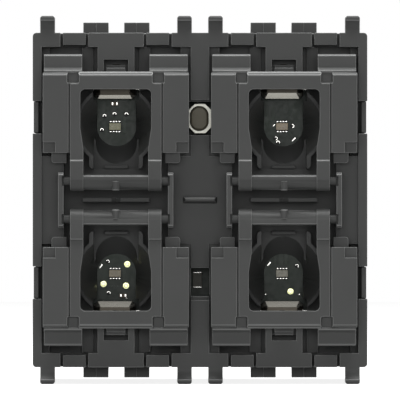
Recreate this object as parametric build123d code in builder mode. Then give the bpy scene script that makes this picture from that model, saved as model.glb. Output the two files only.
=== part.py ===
from build123d import *
import os

os.makedirs("parts", exist_ok=True)

# A flush push-button device of two columns and two rows, shown without its button caps.
# X runs to the right, Z up, and the front faces -Y. The origin is the middle of the device in the
# seat plane, where the tall tabs lie on the mounting frame. Pieces are drawn in a frame that faces
# the user: u runs to the right, v up and w towards the user. What belongs to one button is drawn
# for the upper row, with v running from the middle of the device to its edge.

# Overall sizes (millimetres)
module_pitch = 22.5
carrier_play = 0.2
carrier_height = 44.8
corner_radius = 0.5
front_rise = 2.4
skirt_depth = 8.8
housing_depth = 26.0

# Carrier walls, with the depth of each face below the front of the bands
side_wall = 1.2
shelf_wall = 2.2
shelf_drop = 2.7
band_width = 1.91
floor_drop = 4.0
floor_thickness = 1.2
lever_gap = 0.2
spine_gap = 0.25
pocket_gap = 1.0
side_plate_drop = 0.6
centre_plate_drop = 1.0
plate_half_length = 5.9
spine_base_drop = 1.3
spine_base_half = 2.6
spine_low_end = 13.4
rib_half_length = 2.25
rib_half_width = 0.42
rib_rise = 0.7
edge_break = 0.18

# Bands: clip segments between slits, tall tabs and snap hooks
slit_width = 0.34
inner_slit = 3.89
outer_slit = 7.28
slit_depth = 3.7
clip_trim = 0.27
clip_drop = 0.2
tab_near = 8.2
tab_width = 1.95
tab_reach = 2.25
tab_lip_rise = 0.7
tab_lip_width = 0.6
tab_curve_start = 0.2
tab_round = 0.3
tab_corner = 0.35
rail_thickness = 2.1
hook_near = 1.05
hook_width = 3.4
hook_reach = 1.47
hook_length = 2.6
hook_seam = 0.12

# T-shaped stop post on each band
post_width = 4.95
post_thickness = 1.2
post_notch_width = 3.26
post_notch_depth = 1.7
post_overlap = 0.1

# Side notches with the snap arms of the rear housing
notch_start = 8.9
notch_length = 4.35
arm_thickness = 0.8
arm_clearance = 0.1
arm_inset = 0.12
arm_drop = 0.5
arm_step = 0.15
barb_reach = 0.6
barb_height = 0.95
barb_clearance = 0.05

# Levers
lever_rise = 3.0
deck_thickness = 1.2
skirt_height = 3.6
lever_wall = 0.9
wing_start = 6.3
wing_chamfer = 0.3
step_length = 2.49
step_drop = 1.1
step_thickness = 1.6
step_near = 4.5
step_inset = 0.15
step_chamfer = 0.2
strip_drop = 0.45
strip_width = 0.5
bar_width = 2.2
bar_strip = 0.15
arm_outer = 6.1
arm_inner = 4.73
arm_inner_low = 4.33
arm_taper_start = 9.6
arm_taper_end = 6.95
arm_height = 2.3
window_radius = 0.65
groove_width = 0.2
groove_depth = 0.5
square_near = 4.9
square_width = 1.6
square_length = 1.45
square_depth = 0.6
square_radius = 0.25
square_draft = 0.18
corner_width = 1.65
corner_length = 1.4
corner_depth = 0.8
low_tab_near = 6.6
low_tab_width = 2.0
low_tab_length = 1.36
low_tab_drop = 1.5
low_tab_thickness = 1.2
low_tab_radius = 0.4

# Hinge
pivot_v = 2.54
barrel_radius = 1.35
barrel_step = 0.1
knuckle_rise = 0.25
knuckle_length = 2.9
knuckle_ramp = 0.2
crossbar_radius = 1.15
crossbar_step = 0.08
crossbar_width = 0.8
peg_radius = 0.53
peg_lift = 0.8
peg_length = 1.28
peg_chamfer = 0.1
trunnion_radius = 0.6
trunnion_clearance = 0.05
cheek_near = 6.97
cheek_thickness = 0.72
cheek_half_length = 3.7
cheek_over_pin = 0.5
cheek_ramp = 0.3
lead_in = 0.3

# Stop tongue and press boss under the outer bar of a lever
boss_radius = 0.5
boss_tip_radius = 0.35
boss_tip_rise = 0.12
press_gap = 0.05
stop_gap = 0.05
tongue_width = 2.54
tongue_root = 0.8
tongue_reach = 1.1
tongue_rise = 0.8
tongue_step = 0.75
tongue_step_length = 0.4
ear_width = 4.5
ear_thickness = 0.9

# Light wells
well_inset = 4.9
well_radius = 5.0
well_wall = 0.5
well_drop = 0.2
well_hole_radius = 2.62
neck_half_width = 3.0
neck_wall = 0.65
neck_round = 0.6
chute_ledge = 0.25
neck_length = 5.75
neck_drop = 4.6
sill_width = 3.2
sill_length = 0.45
sill_rise = 1.2
sill_offset = 0.05
roof_thickness = 1.3
roof_overlap = 1.5
roof_slit_near = 2.55
roof_slit_width = 0.5
roof_slit_depth = 0.6
ridge_half_length = 4.5
ridge_half_width = 0.28
ridge_drop = 0.2
ridge_notch = 0.6

# Setup slots in the spine
slot_width = 3.2
slot_height = 4.5
slot_centre = 10.95
led_slot_width = 2.5
led_slot_height = 3.8
led_slot_centre = -11.0
slot_wall = 0.7

# Front circuit board and what stands on it
board_drop = 6.7
board_thickness = 1.6
board_clearance = 0.15
board_radius = 1.0
switch_size = 5.6
switch_chamfer = 0.5
switch_inset = 0.6
component_shift = -0.2
switch_clearance = 0.3
switch_head_room = 0.15
base_height = 1.9
cover_thickness = 0.5
cover_rim = 0.12
cover_bevel = 0.8
cover_corner = 0.1
plunger_height = 4.3
plunger_radius = 1.45
plunger_clearance = 0.08
plunger_room = 0.2
flange_radius = 1.9
flange_thickness = 0.5
flange_gap = 0.1
flange_clearance = 0.15
foot_size = 1.4
cavity_floor = 0.6
dome_height = 0.5
dome_width = 1.6
dome_thickness = 0.08
dome_gap = 0.03
terminal_width = 0.7
terminal_pitch = 2.4
terminal_reach = 0.9
terminal_thickness = 0.2
terminal_height = 0.9
led_width = 1.6
led_length = 1.6
led_base_height = 0.25
led_lens_length = 0.95
led_lens_height = 0.3
setup_width = 3.0
setup_length = 4.0
setup_chamfer = 0.8
setup_cap_chamfer = 0.2
setup_base_height = 3.2
setup_cover_thickness = 0.3
setup_cavity_width = 2.62
setup_cavity_length = 3.46
setup_cavity_u = -0.1
setup_rim = 0.08
setup_clearance = 0.06
setup_plunger_height = 4.4
setup_foot_size = 0.9
setup_dome_width = 1.0
setup_led_width = 1.2
setup_led_length = 2.1
setup_led_height = 0.8
setup_led_u = -0.35
setup_led_v = -10.75
chip_length = 1.0
chip_width = 0.5
chip_height = 0.45
upper_chip_u = -0.25
upper_chip_gap = 0.37
lower_chip_u = 0.9
lower_chip_gap = 0.47
controller_size = 7.0
controller_height = 1.0
controller_u = -11.0
controller_v = 8.5

# Rear housing and bus board
housing_clearance = 0.1
housing_wall = 1.6
housing_inset = 0.2
housing_radius = 1.5
housing_draft = 2.0
housing_flange = 1.5
lip_wall = 1.2
bus_board_size = 36.0
bus_board_gap = 0.2
bus_post_radius = 1.6
bus_post_inset = 3.0
socket_width = 13.0
socket_height = 10.0
socket_depth = 6.5
socket_wall = 1.2
socket_v = -9.5
bus_pin_pitch = 5.75
bus_pin_radius = 0.5
bus_shank_size = 1.3
bus_shank_clearance = 0.05
bus_pin_recess = 1.0
bus_pin_chamfer = 0.15
header_columns = 5
header_spacing = 2.54
header_height = 2.5
header_u = 0.0
header_v = 3.0
header_pin_size = 0.64
header_pin_grip = 5.0
header_gap = 0.2
header_pin_clearance = 0.05
transceiver_size = 6.0
transceiver_height = 0.9
transceiver_gap = 0.65
transceiver_rise = 5.0
capacitor_radius = 3.15
capacitor_height = 7.0
capacitor_inset_u = 8.0
capacitor_inset_v = 12.0
capacitor_chamfer = 0.35

# Places worked out from the sizes above
half_width = module_pitch - carrier_play / 2
half_height = carrier_height / 2
column = module_pitch / 2
lever_half = half_width - side_wall - lever_gap - column
spine_half = column - lever_half - spine_gap
wall_inner = half_width - side_wall
shelf_inner = half_width - shelf_wall
band_inner = half_height - band_width
shelf_face = front_rise - shelf_drop
floor_face = front_rise - floor_drop
floor_back = floor_face - floor_thickness
side_plate_face = front_rise - side_plate_drop
centre_plate_face = front_rise - centre_plate_drop
step_end = band_inner - pocket_gap
wing_end = step_end - step_length
window_end = wing_end - bar_width
well_v = window_end - well_inset
neck_end = well_v - neck_length
lever_front = front_rise + lever_rise
deck_back = lever_front - deck_thickness
skirt_back = lever_front - skirt_height
step_face = lever_front - step_drop
strip_face = lever_front - strip_drop
arm_back = lever_front - arm_height
knuckle_face = lever_front + knuckle_rise
pivot_w = knuckle_face - barrel_step - barrel_radius
window_start = pivot_v + crossbar_width
cheek_far = cheek_near + cheek_thickness
bearing_radius = trunnion_radius + trunnion_clearance
cheek_top = pivot_w + bearing_radius + cheek_over_pin
post_back = front_rise - post_thickness
well_rim = front_rise - well_drop
neck_floor = front_rise - neck_drop
board_front = front_rise - board_drop
board_back = board_front - board_thickness
switch_v = wing_end - switch_inset
base_top = board_front + base_height
cover_top = base_top + cover_thickness
plunger_top = board_front + plunger_height
flange_top = base_top - flange_gap
flange_back = flange_top - flange_thickness
foot_end = board_front + cavity_floor + dome_height + dome_gap
setup_base_top = board_front + setup_base_height
socket_floor = -housing_depth + socket_depth
bus_board_back = socket_floor + socket_wall + bus_board_gap
bus_board_front = bus_board_back + board_thickness
transceiver_u = header_u + (header_columns * header_spacing + transceiver_size) / 2 + transceiver_gap
transceiver_v = header_v + transceiver_rise
capacitor_u = capacitor_inset_u - bus_board_size / 2
capacitor_v = capacitor_inset_v - bus_board_size / 2

ROWS = {"upper": 1, "lower": -1}
COLUMNS = {"left": -1, "right": 1}
DEVICE = Plane.XZ
STATIONS = {
    f"{row}_{side}": Plane(origin=(COLUMNS[side] * column, 0, 0), x_dir=(ROWS[row], 0, 0), z_dir=(0, -1, 0))
    for row in ROWS
    for side in COLUMNS
}


def level(w, centre=0.0):
    """Plane that faces the user at w, with its x along u and its y along v."""
    return Plane(origin=(centre, 0, w))


def across(u, centre=0.0):
    """Plane square to the hinge axis at u: x along v, y along w, normal along u."""
    return Plane(origin=(centre + u, 0, 0), x_dir=(0, 1, 0), z_dir=(1, 0, 0))


def along(v, centre=0.0):
    """Plane square to v: x along u, y along w, normal against v."""
    return Plane(origin=(centre, v, 0), x_dir=(1, 0, 0), z_dir=(0, -1, 0))


def block(u, v, w, centre=0.0, mode=Mode.ADD):
    """Block between two limits along each of u, v and w, joined to or cut from the current part."""
    with BuildSketch(level(w[0], centre)) as outline:
        with Locations(((u[0] + u[1]) / 2, (v[0] + v[1]) / 2)):
            Rectangle(u[1] - u[0], v[1] - v[0])
    extrude(outline.sketch, amount=w[1] - w[0], mode=mode)


def pair(u, v, w, centre=0.0, mode=Mode.ADD):
    """Two such blocks, mirror images of each other across the middle of a button."""
    middle = (u[0] + u[1]) / 2
    with BuildSketch(level(w[0], centre)) as outline:
        with Locations((middle, (v[0] + v[1]) / 2), (-middle, (v[0] + v[1]) / 2)):
            Rectangle(u[1] - u[0], v[1] - v[0])
    extrude(outline.sketch, amount=w[1] - w[0], mode=mode)


def pair_of(section, near, far, centre=0.0, mode=Mode.ADD):
    """Extrude an outline in v and w between two distances from the middle, on both sides of it."""
    for side in (-1, 1):
        place = across(side * near, centre)
        extrude(place.location * section, amount=side * (far - near), mode=mode)


def outline_of(*points):
    """Closed face with straight edges, to be placed on a plane."""
    with BuildSketch() as shape:
        with BuildLine():
            Polyline(*points, close=True)
        make_face()
    return shape.sketch


def keep(piece, place, name):
    """Put a finished piece in its place, label it and write it."""
    placed = place.location * piece
    placed.label = name
    export_step(placed, f"parts/{name}.step")


def tall_tabs():
    """Front stops of a button: each curves up from the band to a rounded lip."""
    end = half_height + tab_reach
    lip = front_rise + tab_lip_rise
    start = half_height + tab_curve_start
    with BuildSketch() as section:
        with BuildLine():
            Polyline((end - tab_lip_width, lip), (end - tab_round, lip))
            RadiusArc((end - tab_round, lip), (end, lip - tab_round), tab_round)
            Polyline((end, lip - tab_round), (end, 0), (band_inner, 0), (band_inner, front_rise))
            Line((band_inner, front_rise), (start, front_rise))
            TangentArc((start, front_rise), (end - tab_lip_width, lip), tangent=(1, 0))
        make_face()
    pair_of(section.sketch, tab_near, tab_near + tab_width, column)
    middle = tab_near + tab_width / 2
    with BuildSketch(level(0, column)) as corners:
        with Locations((middle, end - tab_reach / 2), (-middle, end - tab_reach / 2)):
            Rectangle(tab_width, tab_reach)
        with Locations((middle, end - tab_reach), (-middle, end - tab_reach)):
            RectangleRounded(tab_width, 2 * tab_reach, tab_corner, mode=Mode.SUBTRACT)
    extrude(corners.sketch, amount=lip, mode=Mode.SUBTRACT)


def snap_hooks():
    """Hooks behind the rail of the mounting frame, each in two halves with a seam between them."""
    root = half_height - edge_break
    tip = half_height + hook_reach
    for near, drop in ((hook_near, 0.0), (hook_near + hook_width / 2, hook_seam)):
        face = -rail_thickness - drop
        section = outline_of(
            (root, face),
            (tip, face),
            (tip, face - hook_seam),
            (half_height, -rail_thickness - hook_length),
            (root, -rail_thickness - hook_length),
        )
        pair_of(section, near, near + hook_width / 2, column)


def stop_post():
    """Stem of the T on a band: a forked bridge that the ears of the lever stop against."""
    end = wing_end - post_overlap
    notch = band_inner - post_notch_depth
    with BuildSketch(level(post_back, column)) as outline:
        with Locations((0, (end + half_height - edge_break) / 2)):
            Rectangle(post_width, half_height - edge_break - end)
        with Locations((0, (end + notch) / 2)):
            Rectangle(post_notch_width, notch - end, mode=Mode.SUBTRACT)
    extrude(outline.sketch, amount=post_thickness)


def band_clips():
    """Slits through a band, with the clip segments between them set a little back."""
    past = half_height + edge_break
    deep = (front_rise - slit_depth, front_rise)
    for middle in (inner_slit, outer_slit):
        limits = (middle - slit_width / 2, middle + slit_width / 2)
        pair(limits, (band_inner, past), deep, column, Mode.SUBTRACT)
    span = (inner_slit, outer_slit)
    pair(span, (band_inner, band_inner + clip_trim), deep, column, Mode.SUBTRACT)
    pair(span, (band_inner, past), (front_rise - clip_drop, front_rise), column, Mode.SUBTRACT)


def cheeks():
    """Bearing cheeks at both ends of the hinge, with round bearings and lead-in ramps."""
    section = outline_of(
        (0, floor_back),
        (cheek_half_length, floor_back),
        (cheek_half_length, cheek_top - cheek_ramp),
        (cheek_half_length - cheek_ramp, cheek_top),
        (0, cheek_top),
    )
    pair_of(section, cheek_near, cheek_far, column)
    with BuildSketch() as bearing:
        with Locations((pivot_v, pivot_w)):
            Circle(bearing_radius)
    pair_of(bearing.sketch, cheek_near, cheek_far, column, Mode.SUBTRACT)
    for side in (-1, 1):
        ramp = outline_of(
            (side * cheek_near, cheek_top),
            (side * (cheek_near + lead_in), cheek_top),
            (side * cheek_near, cheek_top - cheek_over_pin),
        )
        place = along(pivot_v + bearing_radius, column)
        extrude(place.location * ramp, amount=2 * bearing_radius, mode=Mode.SUBTRACT)


def light_well():
    """Keyhole-shaped light well: a wall down to the board round a funnel, open towards the switch."""
    with BuildSketch(level(board_front, column)) as wall:
        with Locations((0, (neck_end + well_v) / 2)):
            Rectangle(2 * (neck_half_width + neck_wall), well_v - neck_end)
        fillet(wall.vertices().group_by(Axis.Y)[0], neck_round)
        with Locations((0, well_v)):
            Circle(well_radius + well_wall)
    extrude(wall.sketch, amount=well_rim - board_front)
    with BuildSketch(level(well_rim, column)) as mouth:
        with Locations((0, well_v)):
            Circle(well_radius)
    with BuildSketch(level(board_front, column)) as hole:
        with Locations((0, well_v)):
            Circle(well_hole_radius)
    loft([mouth.sketch, hole.sketch], mode=Mode.SUBTRACT)
    neck = (-neck_half_width, neck_half_width)
    block(neck, (neck_end, well_v), (neck_floor, well_rim), column, Mode.SUBTRACT)
    with BuildSketch(level(neck_floor, column)) as chute:
        with Locations((0, neck_end + sill_length + neck_half_width)):
            Circle(neck_half_width - chute_ledge)
    loft([chute.sketch, hole.sketch], mode=Mode.SUBTRACT)
    room = switch_size / 2 + switch_clearance
    near = switch_v - room
    trough = (-well_hole_radius, well_hole_radius)
    block(trough, (well_v, near), (board_front, well_rim), column, Mode.SUBTRACT)
    sill = neck_end + sill_offset
    sill_span = (-sill_width / 2, sill_width / 2)
    block(sill_span, (sill, sill + sill_length), (neck_floor, neck_floor + sill_rise), column)
    switch_room(room, near)


def switch_room(room, near):
    """Room for the switch, open to the well, with a slit roof round the plunger beyond it."""
    roof_start = well_v + well_radius + well_wall
    roof_end = switch_v + room
    roof = cover_top + switch_head_room
    block((-room, room), (near, roof_start), (board_front, well_rim), column, Mode.SUBTRACT)
    block((-room, room), (roof_start, roof_end), (board_front, roof), column, Mode.SUBTRACT)
    legs = room + terminal_reach
    leg_top = board_front + terminal_height + switch_clearance
    block((-legs, legs), (near, roof_end), (board_front, leg_top), column, Mode.SUBTRACT)
    cover = (-room - roof_overlap, room + roof_overlap)
    block(cover, (roof_start, band_inner), (roof, roof + roof_thickness), column)
    slit = (roof_slit_near, roof_slit_near + roof_slit_width)
    slit_floor = roof + roof_thickness - roof_slit_depth
    pair(slit, (wing_end, band_inner), (slit_floor, roof + roof_thickness), column, Mode.SUBTRACT)
    with BuildSketch(level(roof, column)) as shaft:
        with Locations((0, switch_v)):
            Circle(plunger_radius + plunger_room - component_shift)
    extrude(shaft.sketch, amount=well_rim - roof, mode=Mode.SUBTRACT)


def middle_ridge():
    """Low wall between the two levers of a column, with a V notch in its middle."""
    top = front_rise - ridge_drop
    section = outline_of(
        (-ridge_half_length, floor_back),
        (ridge_half_length, floor_back),
        (ridge_half_length, top),
        (ridge_notch, top),
        (0, top - ridge_notch),
        (-ridge_notch, top),
        (-ridge_half_length, top),
    )
    extrude(along(ridge_half_width, column).location * section, amount=ridge_half_width)


def spine_and_plates():
    """One quarter of the spine, of the plate in its middle and of the plate at the side."""
    block((0, spine_half), (0, spine_low_end), (floor_back, centre_plate_face))
    block((0, spine_half), (spine_low_end, band_inner + edge_break), (floor_back, front_rise))
    block((0, spine_base_half), (0, band_inner), (floor_back, front_rise - spine_base_drop))
    block((0, column - cheek_near), (0, plate_half_length), (floor_back, centre_plate_face))
    outer = (column + cheek_near, wall_inner + edge_break)
    block(outer, (0, plate_half_length), (floor_back, side_plate_face))
    rib_face = centre_plate_face + rib_rise
    block((0, rib_half_length), (0, rib_half_width), (floor_back, rib_face))


def side_notch():
    """Groove up the side wall for a snap arm, open to the levers above the shelf."""
    groove = half_width - arm_inset - arm_thickness - arm_clearance
    past = half_width + edge_break
    span = (notch_start, notch_start + notch_length)
    block((groove, past), span, (-skirt_depth, shelf_face), mode=Mode.SUBTRACT)
    block((wall_inner, past), span, (shelf_face, front_rise), mode=Mode.SUBTRACT)


def setup_slot(width, height, centre):
    """Slot through the spine, walled down to the board."""
    walls = ((width / 2 + slot_wall), (height / 2 + slot_wall))
    block((-walls[0], walls[0]), (centre - walls[1], centre + walls[1]), (board_front, floor_face))
    slot = (centre - height / 2, centre + height / 2)
    block((-width / 2, width / 2), slot, (board_front, front_rise), mode=Mode.SUBTRACT)


with BuildPart() as front_carrier:
    # One quarter of the moulding: outer walls, shelf under the lever's edge and floor
    with BuildSketch(level(-skirt_depth)) as wall:
        RectangleRounded(2 * half_width, 2 * half_height, corner_radius)
        Rectangle(2 * wall_inner, 2 * band_inner, mode=Mode.SUBTRACT)
        with Locations((half_width / 2, half_height / 2)):
            Rectangle(half_width, half_height, mode=Mode.INTERSECT)
    extrude(wall.sketch, amount=skirt_depth + front_rise)
    block((shelf_inner, wall_inner + edge_break), (0, band_inner + edge_break), (-skirt_depth, shelf_face))
    block((0, shelf_inner + edge_break), (0, band_inner + edge_break), (floor_back, floor_face))
    # What belongs to the button of this quarter
    spine_and_plates()
    tall_tabs()
    snap_hooks()
    stop_post()
    middle_ridge()
    cheeks()
    light_well()
    band_clips()
    side_notch()
    # The four quarters are mirror images, apart from the setup slots in the spine
    mirror(about=Plane.YZ)
    mirror(about=Plane.XZ)
    setup_slot(slot_width, slot_height, slot_centre)
    setup_slot(led_slot_width, led_slot_height, led_slot_centre)
keep(front_carrier.part, DEVICE, "front_carrier")


def lever_wing():
    """Deck of one wing with its hollow skirt, and the chamfer along its outer edge."""
    section = outline_of(
        (wing_start, deck_back),
        (wing_end, deck_back),
        (wing_end, lever_front - wing_chamfer),
        (wing_end - wing_chamfer, lever_front),
        (wing_start, lever_front),
    )
    extrude(across(0).location * section, amount=lever_half)
    width = lever_half - arm_outer
    length = wing_end - wing_start
    with BuildSketch(level(skirt_back)) as skirt:
        with Locations((arm_outer + width / 2, wing_start + length / 2)):
            Rectangle(width, length)
            Rectangle(width - 2 * lever_wall, length - 2 * lever_wall, mode=Mode.SUBTRACT)
    extrude(skirt.sketch, amount=skirt_height - deck_thickness)


def lever_arm():
    """Arm beside the window, ending in a raised knuckle, the hinge barrel and its trunnion."""
    with BuildSketch(across(arm_inner_low)) as section:
        with BuildLine():
            Polyline(
                (pivot_v, arm_back),
                (window_end, arm_back),
                (window_end, lever_front),
                (pivot_v + knuckle_length, lever_front),
                (pivot_v + knuckle_length - knuckle_ramp, knuckle_face),
                (pivot_v + knuckle_ramp, knuckle_face),
                (pivot_v, knuckle_face - barrel_step),
                close=True,
            )
        make_face()
        with Locations((pivot_v, pivot_w)):
            Circle(barrel_radius)
    extrude(section.sketch, amount=arm_outer - arm_inner_low)
    with BuildSketch(across(arm_outer)) as pin:
        with Locations((pivot_v, pivot_w)):
            Circle(trunnion_radius)
    extrude(pin.sketch, amount=cheek_far - arm_outer)


def lever_steps():
    """Stepped ledge beyond the outer edge of a wing, and the low strip along the outer bar."""
    back = step_face - step_thickness
    strip = wing_end + strip_width
    section = outline_of(
        (wing_end - lever_wall, back),
        (step_end, back),
        (step_end, step_face - step_chamfer),
        (step_end - step_chamfer, step_face),
        (strip + step_chamfer, step_face),
        (strip, strip_face - step_chamfer),
        (strip - step_chamfer, strip_face),
        (wing_end - lever_wall, strip_face),
    )
    extrude(across(step_near).location * section, amount=lever_half - step_inset - step_near)
    bar = (wing_end - wing_chamfer, wing_end + bar_strip)
    block((0, square_near), bar, (deck_back, lever_front - wing_chamfer))


def lever_low_tab():
    """Low tab at the hinge end of a wing, with its outer corner rounded."""
    back = lever_front - low_tab_drop - low_tab_thickness
    with BuildSketch(level(back)) as outline:
        with Locations((low_tab_near + low_tab_width / 2, wing_start)):
            Rectangle(low_tab_width, 2 * low_tab_length)
        fillet(outline.vertices().group_by(Axis.Y)[0].sort_by(Axis.X)[-1], low_tab_radius)
    extrude(outline.sketch, amount=low_tab_thickness)


def lever_recesses():
    """Groove beside the arm, square notch in the outer edge and recess in the inner corner."""
    groove = (arm_outer, arm_outer + groove_width)
    groove_length = (wing_start, wing_end - square_length)
    block(groove, groove_length, (lever_front - groove_depth, lever_front), mode=Mode.SUBTRACT)
    squares = []
    for drop, draft in ((0, 0), (square_depth, square_draft)):
        with BuildSketch(level(lever_front - drop)) as square:
            with Locations((square_near + square_width / 2, wing_end - (square_length - draft) / 2)):
                Rectangle(square_width - 2 * draft, square_length - draft)
            fillet(square.vertices().group_by(Axis.Y)[0], square_radius)
        squares.append(square.sketch)
    loft(squares, mode=Mode.SUBTRACT)
    corner = (lever_half - corner_width, lever_half)
    corner_span = (wing_start, wing_start + corner_length)
    block(corner, corner_span, (lever_front - corner_depth, lever_front), mode=Mode.SUBTRACT)


def lever_window():
    """Half of the window between the arms, a little narrower towards the hinge."""
    with BuildSketch(level(arm_back)) as outline:
        with BuildLine():
            Polyline(
                (0, window_start),
                (arm_inner_low, window_start),
                (arm_inner_low, arm_taper_end),
                (arm_inner, arm_taper_start),
                (arm_inner, window_end),
                (0, window_end),
                close=True,
            )
        make_face()
        fillet(outline.vertices().group_by(Axis.Y)[-1].sort_by(Axis.X)[-1], window_radius)
    extrude(outline.sketch, amount=knuckle_face - arm_back, mode=Mode.SUBTRACT)


def lever_crossbar():
    """Bar along the hinge axis between the arms, with the small peg in its middle."""
    face = pivot_w + crossbar_radius + crossbar_step
    with BuildSketch(across(-arm_inner_low)) as section:
        with BuildLine():
            Polyline(
                (pivot_v, pivot_w - crossbar_radius),
                (window_start, pivot_w - crossbar_radius),
                (window_start, face - edge_break),
                (window_start - edge_break, face),
                (pivot_v + edge_break, face),
                (pivot_v, face - crossbar_step),
                close=True,
            )
        make_face()
        with Locations((pivot_v, pivot_w)):
            Circle(crossbar_radius)
        with Locations((window_start + crossbar_radius, pivot_w)):
            Rectangle(2 * crossbar_radius, 4 * crossbar_radius, mode=Mode.SUBTRACT)
    extrude(section.sketch, amount=2 * arm_inner_low)
    with BuildSketch(across(0)) as peg:
        with BuildLine():
            Polyline(
                (pivot_v, pivot_w + peg_lift),
                (pivot_v - peg_length, pivot_w + peg_lift),
                (pivot_v - peg_length, pivot_w + peg_lift + peg_radius - peg_chamfer),
                (pivot_v - peg_length + peg_chamfer, pivot_w + peg_lift + peg_radius),
                (pivot_v, pivot_w + peg_lift + peg_radius),
                close=True,
            )
        make_face()
    revolve(peg.sketch, axis=Axis((0, pivot_v, pivot_w + peg_lift), (0, 1, 0)))


def lever_boss():
    """Round press boss over the switch, with a narrow tip just clear of the plunger."""
    tip = plunger_top + press_gap
    section = outline_of(
        (switch_v, tip),
        (switch_v + boss_tip_radius, tip),
        (switch_v + boss_radius, tip + boss_tip_rise),
        (switch_v + boss_radius, deck_back),
        (switch_v, deck_back),
    )
    revolve(across(0).location * section, axis=Axis((0, switch_v, 0), (0, 0, 1)))


def lever_tongue():
    """Stop tongue in the fork of the post, with ears that catch behind its prongs."""
    face = post_back - stop_gap
    reach = wing_end + tongue_reach
    ears = (face - ear_thickness, face)
    block((-ear_width / 2, ear_width / 2), (switch_v, reach), ears)
    root = switch_v - tongue_root
    top = post_back + tongue_rise + tongue_step
    section = outline_of(
        (root, ears[0]),
        (reach, ears[0]),
        (reach, post_back + tongue_rise),
        (reach - tongue_step_length, post_back + tongue_rise),
        (reach - tongue_step_length, top),
        (wing_end, top),
        (wing_end, deck_back + edge_break),
        (root, deck_back + edge_break),
    )
    extrude(across(-tongue_width / 2).location * section, amount=tongue_width)


with BuildPart() as lever:
    # Right half of the lever, then its mirror image, then what lies across the middle
    lever_wing()
    lever_arm()
    lever_steps()
    lever_low_tab()
    lever_recesses()
    lever_window()
    mirror(about=Plane.YZ)
    lever_crossbar()
    lever_boss()
    lever_tongue()

for name, spot in STATIONS.items():
    keep(lever.part, spot, f"lever_{name}")


with BuildPart() as front_board:
    with BuildSketch(level(board_back)) as outline:
        width = 2 * (shelf_inner - board_clearance)
        height = 2 * (band_inner - board_clearance)
        RectangleRounded(width, height, board_radius)
    extrude(outline.sketch, amount=board_thickness)
keep(front_board.part, DEVICE, "front_board")


def switch_outline(size, corner):
    """Square with cut corners, the plan of a tactile switch."""
    with BuildSketch() as outline:
        Rectangle(size, size)
        chamfer(outline.vertices(), corner)
    return Pos(0, switch_v) * outline.sketch


def turned(*points):
    """Piece turned about the middle of the switch, from its outline in radius and w."""
    section = Pos(switch_v, 0) * outline_of(*points)
    revolve(across(0).location * section, axis=Axis((0, switch_v, 0), (0, 0, 1)))


with BuildPart() as switch_base:
    outline = level(board_front).location * switch_outline(switch_size, switch_chamfer)
    extrude(outline, amount=base_height)
    cavity = flange_radius + flange_clearance
    reach = (switch_v - cavity, switch_v + cavity)
    block((-cavity, cavity), reach, (board_front + cavity_floor, base_top), mode=Mode.SUBTRACT)

with BuildPart() as switch_cover:
    # Stamped sheet: a low rim all round, then a wide slope up to the hole
    outline = switch_outline(switch_size, switch_chamfer)
    crown = switch_outline(switch_size - 2 * cover_bevel, cover_corner)
    extrude(level(base_top).location * outline, amount=cover_rim)
    loft([level(base_top + cover_rim).location * outline, level(cover_top).location * crown], ruled=True)
    with BuildSketch(level(base_top)) as hole:
        with Locations((0, switch_v)):
            Circle(plunger_radius + plunger_clearance)
    extrude(hole.sketch, amount=cover_thickness, mode=Mode.SUBTRACT)

with BuildPart() as switch_plunger:
    # Flange under the cover, the stem that is pressed and the square foot over the spring
    turned(
        (0, flange_back),
        (flange_radius, flange_back),
        (flange_radius, flange_top),
        (plunger_radius, flange_top),
        (plunger_radius, plunger_top),
        (0, plunger_top),
    )
    half = foot_size / 2
    block((-half, half), (switch_v - half, switch_v + half), (foot_end, flange_back))


def snap_dome(centre_v, reach, width):
    """Arched strip of spring sheet resting on the floor of a switch."""
    rim = board_front + cavity_floor
    inner = reach - dome_thickness
    with BuildSketch(Plane(origin=(-width / 2, centre_v, rim), x_dir=(0, 1, 0), z_dir=(1, 0, 0))) as section:
        with BuildLine():
            ThreePointArc((-reach, 0), (0, dome_height), (reach, 0))
            Line((reach, 0), (inner, 0))
            ThreePointArc((inner, 0), (0, dome_height - dome_thickness), (-inner, 0))
            Line((-inner, 0), (-reach, 0))
        make_face()
    extrude(section.sketch, amount=width)


with BuildPart() as switch_dome:
    snap_dome(switch_v, flange_radius, dome_width)

with BuildPart() as switch_legs:
    # Bent legs at both sides of a switch, standing on the board
    half = switch_size / 2
    toe = board_front + terminal_thickness
    leg = outline_of(
        (half, board_front),
        (half + terminal_reach, board_front),
        (half + terminal_reach, toe),
        (half + terminal_thickness, toe),
        (half + terminal_thickness, board_front + terminal_height),
        (half, board_front + terminal_height),
    )
    for step in (-1, 1):
        place = along(switch_v + step * terminal_pitch / 2 + terminal_width / 2)
        extrude(place.location * leg, amount=terminal_width)
    mirror(about=Plane.YZ)

with BuildPart() as rgb_led:
    with BuildSketch(level(board_front)) as outline:
        with Locations((0, well_v)):
            Rectangle(led_width, led_length)
    extrude(outline.sketch, amount=led_base_height)
    with BuildSketch(level(board_front + led_base_height)) as lens:
        with Locations((0, well_v)):
            Rectangle(led_width, led_lens_length)
    extrude(lens.sketch, amount=led_lens_height)

for name, spot in STATIONS.items():
    # What stands on the board sits a little to the left of the middle of its well
    shift = Pos(component_shift * spot.x_dir.X, 0, 0)
    keep(shift * switch_base.part, spot, f"switch_base_{name}")
    keep(shift * switch_cover.part, spot, f"switch_cover_{name}")
    keep(shift * switch_plunger.part, spot, f"switch_plunger_{name}")
    keep(shift * switch_dome.part, spot, f"switch_dome_{name}")
    keep(shift * rgb_led.part, spot, f"rgb_led_{name}")

with BuildPart() as switch_terminals:
    for spot in STATIONS.values():
        add(Pos(component_shift, 0, 0) * spot.location * switch_legs.part)
switch_terminals.part.label = "switch_terminals"
export_step(switch_terminals.part, "parts/switch_terminals.step")


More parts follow.
